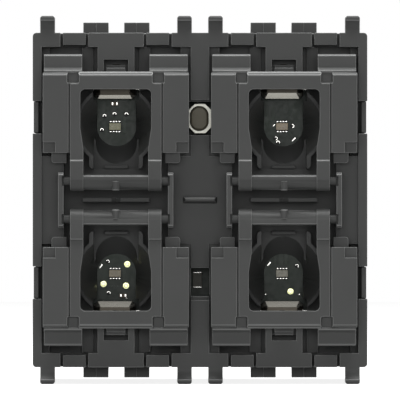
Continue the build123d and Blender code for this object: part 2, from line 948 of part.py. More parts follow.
def setup_oval(inset):
    """Upright oval of the setup button, set in from the cavity of its base."""
    with BuildSketch() as oval:
        SlotOverall(setup_cavity_length - 2 * inset, setup_cavity_width - 2 * inset, rotation=90)
    return Pos(setup_cavity_u, slot_centre) * oval.sketch


def setup_outline():
    """Rectangle with cut corners, the plan of the setup button's base and cover."""
    with BuildSketch() as outline:
        Rectangle(setup_width, setup_length)
        chamfer(outline.vertices(), setup_chamfer)
    return Pos(0, slot_centre) * outline.sketch


with BuildPart() as setup_base:
    extrude(level(board_front).location * setup_outline(), amount=setup_base_height)
    cavity = level(board_front + cavity_floor).location * setup_oval(0)
    extrude(cavity, amount=setup_base_height - cavity_floor, mode=Mode.SUBTRACT)
keep(setup_base.part, DEVICE, "setup_base")

with BuildPart() as setup_cover:
    extrude(level(setup_base_top).location * setup_outline(), amount=setup_cover_thickness)
    opening = level(setup_base_top).location * setup_oval(setup_rim)
    extrude(opening, amount=setup_cover_thickness, mode=Mode.SUBTRACT)
keep(setup_cover.part, DEVICE, "setup_cover")

with BuildPart() as setup_plunger:
    # Oval cap through the cover, flange under it and the foot over the spring
    flange_end = setup_base_top - flange_gap
    cap_end = board_front + setup_plunger_height
    cap = level(flange_end).location * setup_oval(setup_rim + setup_clearance)
    extrude(cap, amount=cap_end - flange_end)
    chamfer(setup_plunger.faces().sort_by(Axis.Z)[-1].edges(), setup_cap_chamfer)
    flange = level(flange_end - flange_thickness).location * setup_oval(setup_clearance)
    extrude(flange, amount=flange_thickness)
    half = setup_foot_size / 2
    foot = (foot_end, flange_end - flange_thickness)
    block((-half, half), (slot_centre - half, slot_centre + half), foot)
keep(setup_plunger.part, DEVICE, "setup_plunger")

with BuildPart() as setup_dome:
    snap_dome(slot_centre, setup_cavity_length / 2 - setup_clearance, setup_dome_width)
keep(setup_dome.part, DEVICE, "setup_dome")

with BuildPart() as setup_led:
    with BuildSketch(level(board_front)) as outline:
        with Locations((setup_led_u, setup_led_v)):
            Rectangle(setup_led_width, setup_led_length)
    extrude(outline.sketch, amount=setup_led_height)
keep(setup_led.part, DEVICE, "setup_led")

with BuildPart() as chip_capacitors:
    # Small chips beside the switches of the left column
    beside = switch_v - switch_size / 2 - chip_width / 2
    upper_chip = (-column + upper_chip_u, beside - upper_chip_gap)
    lower_chip = (-column + lower_chip_u, lower_chip_gap - beside)
    with BuildSketch(level(board_front)) as outline:
        with Locations(upper_chip, lower_chip):
            Rectangle(chip_length, chip_width)
    extrude(outline.sketch, amount=chip_height)
keep(chip_capacitors.part, DEVICE, "chip_capacitors")

with BuildPart() as microcontroller:
    with BuildSketch(level(board_back)) as outline:
        with Locations((controller_u, controller_v)):
            Rectangle(controller_size, controller_size)
    extrude(outline.sketch, amount=-controller_height)
    chamfer(microcontroller.faces().sort_by(Axis.Z)[0].edges(), edge_break)
keep(microcontroller.part, DEVICE, "microcontroller")


def header_grid(size):
    """Squares at every pin of the header between the boards."""
    with BuildSketch() as grid:
        with Locations((header_u, header_v)):
            with GridLocations(header_spacing, header_spacing, header_columns, 2):
                Rectangle(size, size)
    return grid.sketch


def header_body():
    """Plan of the header and of its socket."""
    with BuildSketch() as plan:
        with Locations((header_u, header_v)):
            Rectangle(header_columns * header_spacing, 2 * header_spacing)
    return plan.sketch


header_end = board_back - header_height
socket_top = header_end - header_gap
pin_reach = header_gap + header_pin_grip

with BuildPart() as header_block:
    extrude(level(board_back).location * header_body(), amount=-header_height)
    holes = level(board_back).location * header_grid(header_pin_size)
    extrude(holes, amount=-header_height, mode=Mode.SUBTRACT)
keep(header_block.part, DEVICE, "header_block")

with BuildPart() as header_pins:
    pins = level(board_back).location * header_grid(header_pin_size)
    extrude(pins, amount=-header_height - pin_reach)
keep(header_pins.part, DEVICE, "header_pins")

with BuildPart() as header_socket:
    extrude(level(socket_top).location * header_body(), amount=bus_board_front - socket_top)
    bores = level(socket_top).location * header_grid(header_pin_size + 2 * header_pin_clearance)
    extrude(bores, amount=-pin_reach, mode=Mode.SUBTRACT)
keep(header_socket.part, DEVICE, "header_socket")

with BuildPart() as bus_board:
    with BuildSketch(level(bus_board_back)) as outline:
        RectangleRounded(bus_board_size, bus_board_size, board_radius)
    extrude(outline.sketch, amount=board_thickness)
keep(bus_board.part, DEVICE, "bus_board")

with BuildPart() as bus_transceiver:
    with BuildSketch(level(bus_board_front)) as outline:
        with Locations((transceiver_u, transceiver_v)):
            Rectangle(transceiver_size, transceiver_size)
    extrude(outline.sketch, amount=transceiver_height)
    chamfer(bus_transceiver.faces().sort_by(Axis.Z)[-1].edges(), edge_break)
keep(bus_transceiver.part, DEVICE, "bus_transceiver")

with BuildPart() as buffer_capacitor:
    with BuildSketch(level(bus_board_front)) as outline:
        with Locations((capacitor_u, capacitor_v)):
            Circle(capacitor_radius)
    extrude(outline.sketch, amount=capacitor_height)
    chamfer(buffer_capacitor.faces().sort_by(Axis.Z)[-1].edges(), capacitor_chamfer)
keep(buffer_capacitor.part, DEVICE, "buffer_capacitor")


def bus_pin_shanks(size):
    """Squares at both bus pins."""
    with BuildSketch() as squares:
        with Locations((0, socket_v)):
            with GridLocations(bus_pin_pitch, 1, 2, 1):
                Rectangle(size, size)
    return squares.sketch


with BuildPart() as bus_pins:
    # Square shanks through the floor of the recess, then the round pins that the terminal slides on
    shanks = level(bus_board_back).location * bus_pin_shanks(bus_shank_size)
    extrude(shanks, amount=socket_floor - bus_board_back)
    with BuildSketch(level(socket_floor)) as pins:
        with Locations((0, socket_v)):
            with GridLocations(bus_pin_pitch, 1, 2, 1):
                Circle(bus_pin_radius)
    extrude(pins.sketch, amount=bus_pin_recess - housing_depth - socket_floor)
    chamfer(bus_pins.faces().group_by(Axis.Z)[0].edges(), bus_pin_chamfer)
keep(bus_pins.part, DEVICE, "bus_pins")


def housing_body():
    """Tapered box behind the skirt, hollowed from the front, with a flange at its mouth."""
    outer_u = half_width - housing_inset
    outer_v = half_height - housing_inset
    depth = housing_depth - skirt_depth
    with BuildSketch(level(-skirt_depth)) as shell:
        RectangleRounded(2 * outer_u, 2 * outer_v, housing_radius)
    extrude(shell.sketch, amount=-depth, taper=housing_draft)
    with BuildSketch(level(-skirt_depth - housing_flange)) as hollow:
        Rectangle(2 * (outer_u - housing_wall), 2 * (outer_v - housing_wall))
    extrude(
        hollow.sketch,
        amount=-(depth - housing_flange - housing_wall),
        taper=housing_draft,
        mode=Mode.SUBTRACT,
    )


def housing_lip():
    """Lip that plugs into the skirt and carries the front board, open in its middle."""
    lip_u = shelf_inner - housing_clearance
    lip_v = band_inner - housing_clearance
    with BuildSketch(level(-skirt_depth)) as lip:
        Rectangle(2 * lip_u, 2 * lip_v)
    extrude(lip.sketch, amount=skirt_depth + board_back)
    with BuildSketch(level(board_back)) as mouth:
        Rectangle(2 * (lip_u - lip_wall), 2 * (lip_v - lip_wall))
    extrude(mouth.sketch, amount=-(skirt_depth + board_back + housing_flange), mode=Mode.SUBTRACT)


def board_posts():
    """Posts on the rear wall that the bus board stands on."""
    reach = bus_board_size / 2 - bus_post_inset
    with BuildSketch(level(bus_board_back)) as posts:
        with GridLocations(2 * reach, 2 * reach, 2, 2):
            Circle(bus_post_radius)
    extrude(posts.sketch, amount=-(housing_depth - housing_wall / 2 + bus_board_back))


def bus_socket():
    """Walled recess for the bus terminal, open at the rear, with pin holes in its floor."""
    inside = socket_floor + socket_wall
    with BuildSketch(level(inside)) as walls:
        with Locations((0, socket_v)):
            Rectangle(socket_width + 2 * socket_wall, socket_height + 2 * socket_wall)
    extrude(walls.sketch, amount=-(housing_depth - housing_wall / 2 + inside))
    with BuildSketch(level(socket_floor)) as recess:
        with Locations((0, socket_v)):
            Rectangle(socket_width, socket_height)
    extrude(recess.sketch, amount=-socket_depth, mode=Mode.SUBTRACT)
    holes = level(inside).location * bus_pin_shanks(bus_shank_size + 2 * bus_shank_clearance)
    extrude(holes, amount=-socket_wall, mode=Mode.SUBTRACT)


def snap_arms():
    """Arms that run up the grooves of the carrier's side walls and hook over the shelves."""
    face = half_width - arm_inset
    inner = face - arm_thickness
    catch = shelf_face + barb_clearance
    width = notch_length - 2 * arm_clearance
    for side in (-1, 1):
        section = outline_of(
            (side * face, -skirt_depth - housing_flange),
            (side * face, front_rise - arm_drop),
            (side * (inner + arm_step), front_rise - arm_drop),
            (side * (inner + arm_step), catch + barb_height),
            (side * (inner - barb_reach), catch + barb_height / 2),
            (side * (inner - barb_reach), catch),
            (side * inner, catch),
            (side * inner, -skirt_depth - housing_flange),
        )
        for middle in (notch_start + notch_length / 2, -notch_start - notch_length / 2):
            extrude(along(middle + width / 2).location * section, amount=width)


with BuildPart() as rear_housing:
    housing_body()
    housing_lip()
    board_posts()
    bus_socket()
    snap_arms()
keep(rear_housing.part, DEVICE, "rear_housing")
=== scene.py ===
import logging
import math
from dataclasses import dataclass
from enum import Enum, IntEnum
from typing import Callable

import bmesh
import bpy
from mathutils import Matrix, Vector


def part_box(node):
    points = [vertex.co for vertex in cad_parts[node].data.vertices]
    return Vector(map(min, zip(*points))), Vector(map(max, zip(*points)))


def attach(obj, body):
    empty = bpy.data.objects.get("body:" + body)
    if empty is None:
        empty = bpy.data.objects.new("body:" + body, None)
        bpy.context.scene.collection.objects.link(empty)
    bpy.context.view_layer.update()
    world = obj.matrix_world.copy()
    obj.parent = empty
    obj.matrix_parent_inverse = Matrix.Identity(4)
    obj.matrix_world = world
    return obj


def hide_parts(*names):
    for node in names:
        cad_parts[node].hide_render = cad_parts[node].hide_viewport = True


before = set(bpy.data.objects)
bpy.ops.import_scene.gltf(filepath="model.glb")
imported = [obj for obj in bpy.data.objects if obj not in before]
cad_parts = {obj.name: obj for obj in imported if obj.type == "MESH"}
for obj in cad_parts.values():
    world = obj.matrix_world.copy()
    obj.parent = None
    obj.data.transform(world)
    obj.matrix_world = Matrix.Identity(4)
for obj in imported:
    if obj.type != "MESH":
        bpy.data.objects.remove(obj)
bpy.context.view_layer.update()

LOG = logging.getLogger("push_button")

# Units, directions and the share of a face's normal along FRONT that makes it a front face
MM = 0.001
QUARTER_TURN = math.radians(90.0)
FRONT = Vector((0.0, -1.0, 0.0))
UP = Vector((0.0, 0.0, 1.0))
FACING = 0.9

# Distance of each column of buttons from the middle of the object
COLUMN = 11.25 * MM

# Cleaning of a solid's mesh before its edges are rounded
MERGE_REACH = 0.004 * MM
FLAT_ANGLE = math.radians(0.6)
CUSP_REACH = 0.09 * MM
CUSP_ANGLE = math.radians(32.0)

# Which edges are rounded, and how
SHARP_ANGLE = math.radians(42.0)
CHAIN_TURN = math.radians(40.0)
SHORTEST_CHAIN = 0.3 * MM
EDGE_SEGMENTS = 2
BOLDEST_EDGE = 4.5
SLIVER_SHARE = 0.22

# Shading of the rounded pieces
SMOOTH_ANGLE = math.radians(18.0)
BROAD_FACE = 0.45 * MM
BROAD_TURN = math.radians(6.0)
FACE_WEIGHT = 100

# Span of a noise field's values that colours and roughness are spread over
FIELD_LOW = 0.3
FIELD_HIGH = 0.7

Triple = tuple[float, float, float]
Colour = Triple


class Corner(Enum):
    """The four button places, by the name that nodes and bodies use."""

    UPPER_LEFT = "upper_left"
    UPPER_RIGHT = "upper_right"
    LOWER_LEFT = "lower_left"
    LOWER_RIGHT = "lower_right"


class EdgeSize(Enum):
    """Radius classes of the edges, in metres."""

    CRISP = 0.04 * MM
    PLAIN = 0.07 * MM


class CarrierFinish(IntEnum):
    """Places of the finishes in the carrier's list of materials."""

    PLAIN = 0
    # Painted highlight on the rounded edges and on the top of the rib.
    EDGE_HIGHLIGHT = 1
    # Painted shade on the rims of the wells, and under and at the ends of the rib.
    SHADED = 2


@dataclass(frozen=True)
class Spot:
    """A place on the board in millimetres, with a turn in degrees and a stretch."""

    x: float
    z: float
    turn: float = 0.0
    width: float = 1.0
    length: float = 1.0


@dataclass(frozen=True)
class Step:
    """One step of a stepped front: how far it is drawn in and how far it stands out."""

    inward: float
    forward: float


class ShaderTree:
    """A new material and the steps that wire its nodes."""

    def __init__(self, name: str) -> None:
        """Start a material with an object-space coordinate.

        Args:
            name: Name of the material.
        """
        self.material = bpy.data.materials.new(name)
        self.material.use_nodes = True
        self.tree = self.material.node_tree
        self.shader = self.tree.nodes["Principled BSDF"]
        self.place = self.tree.nodes.new("ShaderNodeTexCoord").outputs["Object"]

    def add(self, kind: str, **sockets: object) -> bpy.types.Node:
        """Add a node and fill or link its input sockets.

        Args:
            kind: Blender's node type.
            sockets: Input names with constants or with the outputs to link.

        Returns:
            The new node.
        """
        node = self.tree.nodes.new(kind)
        self.feed(node, **sockets)
        return node

    def feed(self, node: bpy.types.Node, **sockets: object) -> None:
        """Set inputs of a node to constants or link them to outputs.

        Args:
            node: Node that is fed.
            sockets: Input names with constants or with the outputs to link.
        """
        for name, value in sockets.items():
            socket = node.inputs[name.replace("_", " ")]
            if isinstance(value, bpy.types.NodeSocket):
                self.tree.links.new(value, socket)
            else:
                socket.default_value = value

    def surface(self, **sockets: object) -> None:
        """Fill or link inputs of the surface shader."""
        self.feed(self.shader, **sockets)

    def noise(self, size: float, detail: float) -> bpy.types.NodeSocket:
        """Add a noise field in object space.

        Args:
            size: Size of its patches in metres.
            detail: Number of finer octaves.

        Returns:
            The field's value output.
        """
        node = self.add("ShaderNodeTexNoise", Vector=self.place, Scale=1.0 / size, Detail=detail)
        return node.outputs["Fac"]

    def stretched_noise(self, size: float, detail: float, stretch: Triple) -> bpy.types.NodeSocket:
        """Add a noise field drawn out along an axis.

        Args:
            size: Size of its patches in metres.
            detail: Number of finer octaves.
            stretch: Factor on each axis; a small one draws the patches out.

        Returns:
            The field's value output.
        """
        place = self.add("ShaderNodeMapping", Vector=self.place, Scale=stretch).outputs["Vector"]
        node = self.add("ShaderNodeTexNoise", Vector=place, Scale=1.0 / size, Detail=detail)
        return node.outputs["Fac"]

    def tint(self, value: bpy.types.NodeSocket, low: Colour, high: Colour) -> bpy.types.NodeSocket:
        """Turn a field into a colour between two others.

        Args:
            value: Field output.
            low: Colour where the field is low.
            high: Colour where it is high.

        Returns:
            The colour output.
        """
        ramp = self.add("ShaderNodeValToRGB", Fac=value)
        first, last = ramp.color_ramp.elements
        first.position = FIELD_LOW
        last.position = FIELD_HIGH
        first.color = (*low, 1.0)
        last.color = (*high, 1.0)
        return ramp.outputs["Color"]

    def spread(self, value: bpy.types.NodeSocket, low: float, high: float) -> bpy.types.NodeSocket:
        """Turn a field into a number between two others.

        Args:
            value: Field output.
            low: Number where the field is low.
            high: Number where it is high.

        Returns:
            The number output.
        """
        node = self.add("ShaderNodeMapRange", Value=value)
        self.feed(node, From_Min=FIELD_LOW, From_Max=FIELD_HIGH, To_Min=low, To_Max=high)
        return node.outputs["Result"]

    def relief(self, height: bpy.types.NodeSocket, depth: float, strength: float) -> None:
        """Give the shader a fine relief.

        Args:
            height: Field output used as height.
            depth: Depth of the relief in metres.
            strength: Share of it that is felt.
        """
        bump = self.add("ShaderNodeBump", Height=height, Distance=depth, Strength=strength)
        self.surface(Normal=bump.outputs["Normal"])


def shade(colour: Colour, factor: float) -> Colour:
    """Scale a colour.

    Args:
        colour: Linear colour.
        factor: Factor on each channel.

    Returns:
        The scaled colour.
    """
    return (colour[0] * factor, colour[1] * factor, colour[2] * factor)


@dataclass(frozen=True)
class MouldedPlastic:
    """Opaque injection moulding with a fine eroded texture."""

    name: str
    colour: Colour
    roughness: float = 0.46
    smoother: float = 0.05
    rougher: float = 0.06
    specular: float = 0.18
    mottling: float = 0.05
    flow_size: float = 7.0 * MM
    flow_detail: float = 4.0
    grain_size: float = 0.16 * MM
    grain_detail: float = 2.0
    grain_depth: float = 0.012 * MM
    grain_strength: float = 0.5

    def material(self) -> bpy.types.Material:
        """Build the material.

        Returns:
            The node material.
        """
        tree = ShaderTree(self.name)
        flow = tree.noise(self.flow_size, self.flow_detail)
        grain = tree.noise(self.grain_size, self.grain_detail)
        darker = shade(self.colour, 1.0 - self.mottling)
        lighter = shade(self.colour, 1.0 + self.mottling)
        tree.surface(
            Base_Color=tree.tint(flow, darker, lighter),
            Roughness=tree.spread(grain, self.roughness - self.smoother, self.roughness + self.rougher),
            Specular_IOR_Level=self.specular,
        )
        tree.relief(grain, self.grain_depth, self.grain_strength)
        return tree.material


@dataclass(frozen=True)
class SolderMask:
    """Glossy lacquer over the woven laminate of a circuit board."""

    name: str
    colour: Colour
    darkest: float = 0.78
    lightest: float = 1.2
    smoothest: float = 0.3
    roughest: float = 0.42
    specular: float = 0.18
    patch_size: float = 2.6 * MM
    patch_detail: float = 3.0
    weave_size: float = 0.5 * MM
    weave_detail: float = 1.0
    weave_depth: float = 0.01 * MM
    weave_strength: float = 0.3

    def material(self) -> bpy.types.Material:
        """Build the material.

        Returns:
            The node material.
        """
        tree = ShaderTree(self.name)
        patch = tree.noise(self.patch_size, self.patch_detail)
        weave = tree.noise(self.weave_size, self.weave_detail)
        tree.surface(
            Base_Color=tree.tint(patch, shade(self.colour, self.darkest), shade(self.colour, self.lightest)),
            Roughness=tree.spread(weave, self.smoothest, self.roughest),
            Specular_IOR_Level=self.specular,
        )
        tree.relief(weave, self.weave_depth, self.weave_strength)
        return tree.material


@dataclass(frozen=True)
class Metal:
    """Bare or plated metal with drawn-out working marks."""

    name: str
    colour: Colour
    roughness: float
    roughness_spread: float = 0.2
    contrast: float = 0.1
    stretch: Triple = (1.0, 1.0, 1.0)
    mark_size: float = 0.2 * MM
    mark_detail: float = 2.0
    mark_depth: float = 0.004 * MM
    mark_strength: float = 0.3

    def material(self) -> bpy.types.Material:
        """Build the material.

        Returns:
            The node material.
        """
        tree = ShaderTree(self.name)
        marks = tree.stretched_noise(self.mark_size, self.mark_detail, self.stretch)
        darker = shade(self.colour, 1.0 - self.contrast)
        lighter = shade(self.colour, 1.0 + self.contrast)
        smoothest = self.roughness * (1.0 - self.roughness_spread)
        roughest = self.roughness * (1.0 + self.roughness_spread)
        tree.surface(
            Base_Color=tree.tint(marks, darker, lighter),
            Metallic=1.0,
            Roughness=tree.spread(marks, smoothest, roughest),
        )
        tree.relief(marks, self.mark_depth, self.mark_strength)
        return tree.material


@dataclass(frozen=True)
class ClearResin:
    """Potting resin of a light, tinted by what lies under it."""

    name: str
    low: Colour
    high: Colour
    smoothest: float = 0.2
    roughest: float = 0.325
    coat: float = 0.3
    patch_size: float = 0.55 * MM
    patch_detail: float = 2.0

    def material(self) -> bpy.types.Material:
        """Build the material.

        Returns:
            The node material.
        """
        tree = ShaderTree(self.name)
        patch = tree.noise(self.patch_size, self.patch_detail)
        tree.surface(
            Base_Color=tree.tint(patch, self.low, self.high),
            Roughness=tree.spread(patch, self.smoothest, self.roughest),
            Coat_Weight=self.coat,
        )
        return tree.material


def off_column(place: Vector) -> float:
    """Tell how far a place is from the middle line of its column of buttons."""
    return abs(abs(place.x) - COLUMN)


def pick_only(piece: bpy.types.Object) -> None:
    """Select one object and make it active.

    Args:
        piece: The object.
    """
    bpy.ops.object.select_all(action="DESELECT")
    piece.select_set(True)
    bpy.context.view_layer.objects.active = piece


def open_whole(piece: bpy.types.Object) -> None:
    """Open an object for shaping with all of its mesh selected.

    Args:
        piece: The object.
    """
    pick_only(piece)
    bpy.ops.object.mode_set(mode="EDIT")
    bpy.ops.mesh.select_all(action="SELECT")


def open_new() -> bpy.types.Object:
    """Bake the place of the object just added into its mesh and open it for shaping.

    Returns:
        The object, in edit mode.
    """
    piece = bpy.context.object
    bpy.ops.object.transform_apply(location=True, rotation=True, scale=True)
    bpy.ops.object.mode_set(mode="EDIT")
    bpy.ops.mesh.select_mode(type="FACE")
    return piece


def smooth(piece: bpy.types.Object) -> None:
    """Shade an object smooth where its faces turn only a little."""
    pick_only(piece)
    bpy.ops.object.shade_smooth_by_angle(angle=SMOOTH_ANGLE)


def close(piece: bpy.types.Object) -> bpy.types.Object:
    """Leave edit mode and shade the piece.

    Args:
        piece: The piece, in edit mode.

    Returns:
        The same piece.
    """
    bpy.ops.object.mode_set(mode="OBJECT")
    smooth(piece)
    return piece


def settle(piece: bpy.types.Object, name: str) -> bpy.types.Object:
    """Name a finished object and bake its place into its mesh.

    Args:
        piece: The object.
        name: Name it is kept under.

    Returns:
        The same object.
    """
    pick_only(piece)
    bpy.ops.object.transform_apply(location=True, rotation=True, scale=True)
    piece.name = name
    piece.data.name = name
    return piece


def draw_in(piece: bpy.types.Object, steps: tuple[Step, ...]) -> None:
    """Step the front of an opened piece.

    Args:
        piece: The piece, in edit mode.
        steps: Steps from the outside in.
    """
    bpy.ops.mesh.select_all(action="DESELECT")
    shape = bmesh.from_edit_mesh(piece.data)
    for face in shape.faces:
        face.select_set(face.normal.dot(FRONT) > FACING)
    bmesh.update_edit_mesh(piece.data)
    for step in steps:
        bpy.ops.mesh.inset(thickness=step.inward, depth=step.forward)


@dataclass(frozen=True)
class RaisedBlock:
    """A small block with a stepped front that stands on a face towards the user."""

    size: Triple
    steps: tuple[Step, ...]
    edge: float = 0.0

    def model(self, foot: float) -> bpy.types.Object:
        """Model the block over the middle of the object.

        Args:
            foot: Depth of the face that it stands on.

        Returns:
            The block.
        """
        bpy.ops.object.select_all(action="DESELECT")
        middle = (0.0, foot - self.size[1] / 2.0, 0.0)
        bpy.ops.mesh.primitive_cube_add(size=1.0, location=middle)
        bpy.context.object.scale = self.size
        piece = open_new()
        draw_in(piece, self.steps)
        if self.edge > 0.0:
            bpy.ops.mesh.select_all(action="SELECT")
            bpy.ops.mesh.bevel(offset=self.edge, segments=EDGE_SEGMENTS, affect="EDGES")
        return close(piece)


@dataclass(frozen=True)
class RaisedDisc:
    """A small disc with a stepped front, and a hole if it has a depth, that faces the user."""

    radius: float
    height: float
    steps: tuple[Step, ...]
    hole_depth: float = 0.0
    sides: int = 28

    def model(self, foot: float) -> bpy.types.Object:
        """Model the disc over the middle of the object.

        Args:
            foot: Depth of the face that it stands on.

        Returns:
            The disc.
        """
        bpy.ops.object.select_all(action="DESELECT")
        bpy.ops.mesh.primitive_cylinder_add(
            vertices=self.sides,
            radius=self.radius,
            depth=self.height,
            location=(0.0, foot - self.height / 2.0, 0.0),
            rotation=(QUARTER_TURN, 0.0, 0.0),
        )
        piece = open_new()
        draw_in(piece, self.steps)
        if self.hole_depth > 0.0:
            bpy.ops.mesh.extrude_region_move(TRANSFORM_OT_translate={"value": (0.0, self.hole_depth, 0.0)})
        return close(piece)


def repeat(model: bpy.types.Object, name: str, spots: tuple[Spot, ...]) -> bpy.types.Object:
    """Copy a modelled piece to every spot and join the copies.

    Args:
        model: Piece modelled over the middle of the object, which is used up.
        name: Name of the joined copies.
        spots: Where the copies go.

    Returns:
        The joined copies.
    """
    copies = []
    for spot in spots:
        pick_only(model)
        bpy.ops.object.duplicate(linked=False)
        piece = bpy.context.view_layer.objects.active
        piece.location = (spot.x * MM, 0.0, spot.z * MM)
        piece.rotation_euler = (0.0, math.radians(spot.turn), 0.0)
        piece.scale = (spot.width, 1.0, spot.length)
        copies.append(piece)
    bpy.data.objects.remove(model)
    bpy.ops.object.select_all(action="DESELECT")
    for piece in copies:
        piece.select_set(True)
    bpy.context.view_layer.objects.active = copies[0]
    bpy.ops.object.join()
    LOG.info("set %s at %d spots", name, len(spots))
    return settle(copies[0], name)


def finish_faces(
    piece: bpy.types.Object,
    first: bpy.types.Material,
    other: bpy.types.Material,
    choose: Callable[[bpy.types.MeshPolygon], bool],
) -> None:
    """Give a piece two finishes.

    Args:
        piece: The piece.
        first: Finish of most faces.
        other: Finish of the chosen faces.
        choose: Test that is true for a chosen face.
    """
    piece.data.materials.clear()
    piece.data.materials.append(first)
    piece.data.materials.append(other)
    for face in piece.data.polygons:
        face.material_index = int(choose(face))


def mount(piece: bpy.types.Object, body: str) -> None:
    """Give a piece its body."""
    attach(piece, body)


def dress(piece: bpy.types.Object, material: bpy.types.Material, body: str) -> None:
    """Give a piece its finish, its body and its material slot.

    Args:
        piece: The piece.
        material: Its material.
        body: Body that it rides on.
    """
    piece.data.materials.clear()
    piece.data.materials.append(material)
    mount(piece, body)


def paint_node(name: str, material: bpy.types.Material) -> None:
    """Give a carried-over solid its finish.

    Args:
        name: Node name.
        material: Its material.
    """
    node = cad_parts[name]
    if not node.material_slots:
        node.data.materials.append(material)
    for place in node.material_slots:
        place.material = material
    LOG.info("painted %s", name)


def find_cusps(shape: bmesh.types.BMesh) -> dict[bmesh.types.BMVert, bmesh.types.BMVert]:
    """Find the tips of needle-thin corners.

    Args:
        shape: Mesh that is read.

    Returns:
        Each tip with the neighbour that it can be drawn in to.
    """
    cusps = {}
    for face in shape.faces:
        for corner in face.loops:
            if corner.calc_angle() < CUSP_ANGLE:
                sides = (corner.edge, corner.link_loop_prev.edge)
                short = min(sides, key=lambda side: side.calc_length())
                tip = corner.vert
                base = short.other_vert(tip)
                free = tip not in cusps and base not in cusps and tip not in cusps.values()
                if free and short.calc_length() < CUSP_REACH:
                    cusps[tip] = base
    return cusps


def blunt_cusps(shape: bmesh.types.BMesh) -> None:
    """Draw the tips of needle-thin corners in, so that the edges there can be rounded."""
    while cusps := find_cusps(shape):
        bmesh.ops.weld_verts(shape, targetmap=cusps)


def edge_chains(shape: bmesh.types.BMesh) -> list[list[bmesh.types.BMEdge]]:
    """Sort the outward sharp edges of a mesh into smooth chains.

    Args:
        shape: Mesh that is read.

    Returns:
        Lists of edges that run on from one another.
    """
    sharp = {
        edge
        for edge in shape.edges
        if edge.is_manifold and edge.is_convex and edge.calc_face_angle() > SHARP_ANGLE
    }
    chains = []
    while sharp:
        chain = [sharp.pop()]
        for edge in chain:
            for vertex in edge.verts:
                way = edge.other_vert(vertex).co - vertex.co
                for follower in [link for link in vertex.link_edges if link in sharp]:
                    turn = (vertex.co - follower.other_vert(vertex).co).angle(way, math.pi)
                    if turn < CHAIN_TURN:
                        sharp.remove(follower)
                        chain.append(follower)
        chains.append(chain)
    return chains


def weigh_edges(shape: bmesh.types.BMesh, rings: bool, bold: Callable[[Vector], float]) -> None:
    """Mark the edges that are rounded with their share of the boldest radius.

    Args:
        shape: Mesh that is changed.
        rings: Whether closed rings of edges are rounded too.
        bold: How many times the usual radius the edges at a place get.
    """
    weight = shape.edges.layers.float.new("bevel_weight_edge")
    for chain in edge_chains(shape):
        ends = {vertex for edge in chain for vertex in edge.verts}
        is_open = len(ends) > len(chain)
        if (is_open or rings) and sum(edge.calc_length() for edge in chain) > SHORTEST_CHAIN:
            for edge in chain:
                middle = (edge.verts[0].co + edge.verts[1].co) / 2.0
                edge[weight] = bold(middle) / BOLDEST_EDGE


def round_edges(piece: bpy.types.Object, edge: EdgeSize) -> None:
    """Round the marked edges of a piece, in its last finish, and merge the slivers that this leaves.

    Args:
        piece: Piece that is changed.
        edge: Radius class of the edges.
    """
    bevel = piece.modifiers.new("edges", "BEVEL")
    bevel.limit_method = "WEIGHT"
    bevel.width = edge.value * BOLDEST_EDGE
    bevel.segments = EDGE_SEGMENTS
    bevel.use_clamp_overlap = False
    bevel.material = len(piece.data.materials) - 1
    bpy.ops.object.modifier_apply(modifier=bevel.name)
    open_whole(piece)
    bpy.ops.mesh.remove_doubles(threshold=SLIVER_SHARE * edge.value)
    bpy.ops.object.mode_set(mode="OBJECT")


def crease_broad_faces(piece: bpy.types.Object) -> None:
    """Mark the edges between two broad faces sharp, so that flat faces stay flat.

    Args:
        piece: Piece that is changed.
    """
    shape = bmesh.new()
    shape.from_mesh(piece.data)
    for edge in shape.edges:
        least = BROAD_FACE * edge.calc_length()
        if edge.is_manifold and all(face.calc_area() > least for face in edge.link_faces):
            edge.smooth = edge.calc_face_angle() < BROAD_TURN
    shape.to_mesh(piece.data)
    shape.free()


def shade_rounded(piece: bpy.types.Object) -> None:
    """Shade the rounded edges of a piece smooth and its faces flat.

    Args:
        piece: Piece that is changed.
    """
    crease_broad_faces(piece)
    smooth(piece)
    weighted = piece.modifiers.new("faces", "WEIGHTED_NORMAL")
    weighted.keep_sharp = True
    weighted.weight = FACE_WEIGHT
    bpy.ops.object.modifier_apply(modifier=weighted.name)


def rounded_copy(
    node: str,
    edge: EdgeSize,
    finishes: tuple[bpy.types.Material, ...] = (),
    rings: bool = True,
    bold: Callable[[Vector], float] = lambda place: 1.0,
    prepare: Callable[[bmesh.types.BMesh], None] = lambda shape: None,
) -> bpy.types.Object:
    """Copy a solid and round its outward edges.

    Args:
        node: Name of the solid.
        edge: Radius class of the edges.
        finishes: Finish of the faces and then of the rounded edges.
        rings: Whether closed rings of edges are rounded too.
        bold: How many times the radius the edges at a place get.
        prepare: Change that is made to the mesh before its edges are rounded.

    Returns:
        The copy, which stands for the solid.
    """
    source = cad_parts[node]
    piece = bpy.data.objects.new(f"{node}_skin", source.data.copy())
    bpy.context.scene.collection.objects.link(piece)
    piece.data.materials.clear()
    for finish in finishes:
        piece.data.materials.append(finish)
    open_whole(piece)
    bpy.ops.mesh.remove_doubles(threshold=MERGE_REACH)
    bpy.ops.mesh.dissolve_limited(angle_limit=FLAT_ANGLE)
    shape = bmesh.from_edit_mesh(piece.data)
    blunt_cusps(shape)
    prepare(shape)
    weigh_edges(shape, rings, bold)
    bmesh.update_edit_mesh(piece.data)
    bpy.ops.object.mode_set(mode="OBJECT")
    round_edges(piece, edge)
    shade_rounded(piece)
    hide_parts(node)
    LOG.info("rounded %s to %d faces", node, len(piece.data.polygons))
    return piece


